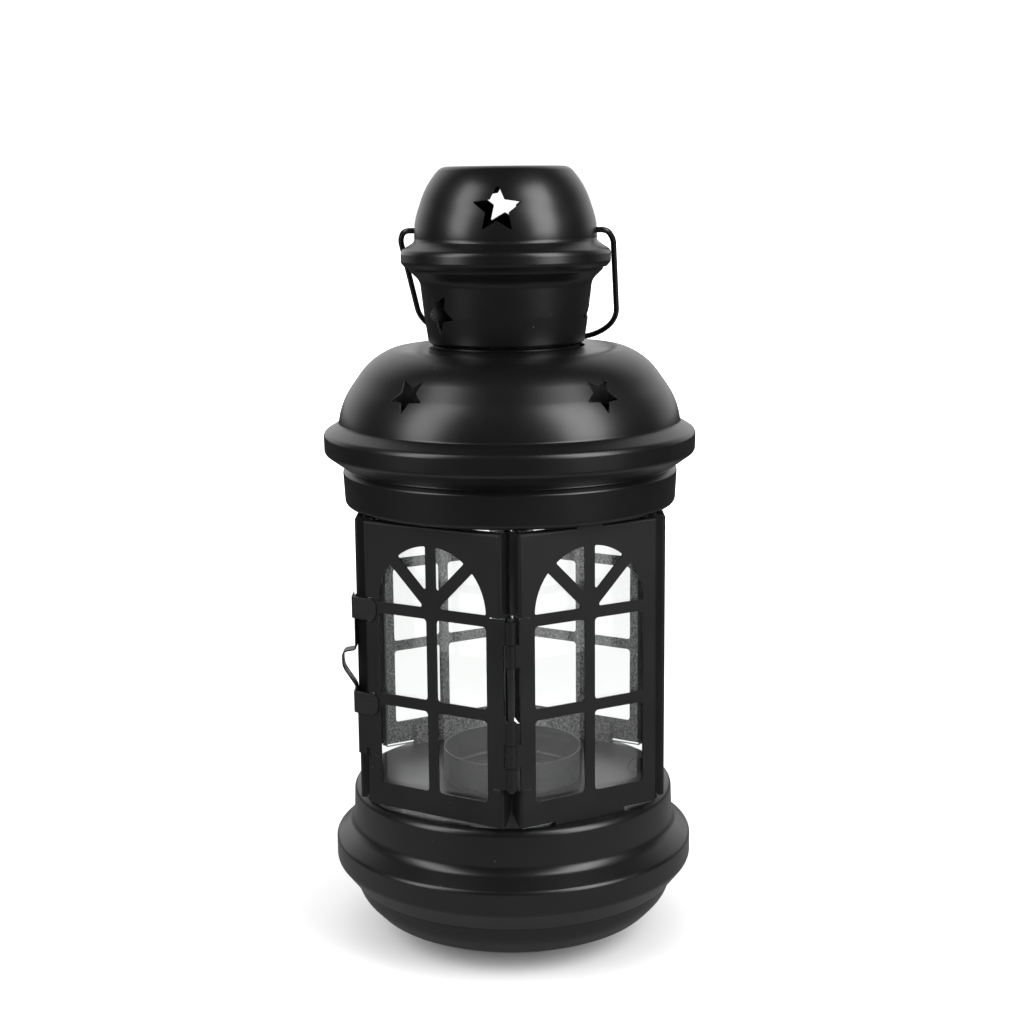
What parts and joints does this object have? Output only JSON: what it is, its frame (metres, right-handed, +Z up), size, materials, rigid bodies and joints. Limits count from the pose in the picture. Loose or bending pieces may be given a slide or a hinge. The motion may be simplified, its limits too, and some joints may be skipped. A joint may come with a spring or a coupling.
{
  "type": "candle lantern",
  "caption": "Black sheet-steel tealight lantern with a hexagonal glazed cage, a hinged latched door, a domed roof with punched stars and a wire bail.",
  "frame": {"origin": "centre of the flat foot, on the surface that the lantern stands on", "axes": "+Z up along the lantern's axis; -Y towards the corner of the cage that carries the door's hinge; +X to the right seen from there"},
  "size_m": [0.103, 0.103, 0.216],
  "materials": {
    "shell_black": "satin black powder coat",
    "cage_black": "satin black paint outside, thin speckled overspray inside",
    "fittings_black": "satin black paint",
    "wire_black": "semi-gloss black paint",
    "cup_steel": "satin dark grey paint over steel",
    "clear_glass": "clear polished sheet glass"
  },
  "bodies": {
    "root": {"base_bowl": "shell_black", "base_shell": "shell_black", "tealight_cup": "cup_steel", "cup_rivet": "cup_steel", "panel_front_right": "cage_black", "panel_right": "cage_black", "panel_back_right": "cage_black", "panel_back_left": "cage_black", "panel_left": "cage_black", "glass_front_right": "clear_glass", "glass_right": "clear_glass", "glass_back_right": "clear_glass", "glass_back_left": "clear_glass", "glass_left": "clear_glass", "hinge_pin": "fittings_black", "roof_ring": "shell_black", "roof_dome": "shell_black", "chimney": "shell_black", "cap": "shell_black"},
    "door": {"door_panel": "cage_black", "glass_door": "clear_glass", "latch_clip_upper": "fittings_black", "latch_clip_lower": "fittings_black"},
    "latch": {"latch_strip": "fittings_black"},
    "bail": {"bail_handle": "wire_black"}
  },
  "joints": [
    {"name": "door_hinge", "type": "hinge", "parent": "root", "child": "door", "pos_m": [0, -0.0475, 0.0785], "axis": [0, 0, 1], "range_deg": [0, 150]},
    {"name": "latch_slide", "type": "slide", "parent": "door", "child": "latch", "axis": [0, 0, 1], "range_m": [0, 0.005]},
    {"name": "bail_swing", "type": "hinge", "parent": "root", "child": "bail", "pos_m": [-0.0006, 0, 0.1989], "axis": [0.9934, -0.1149, 0], "range_deg": [0, 264]}
  ]
}
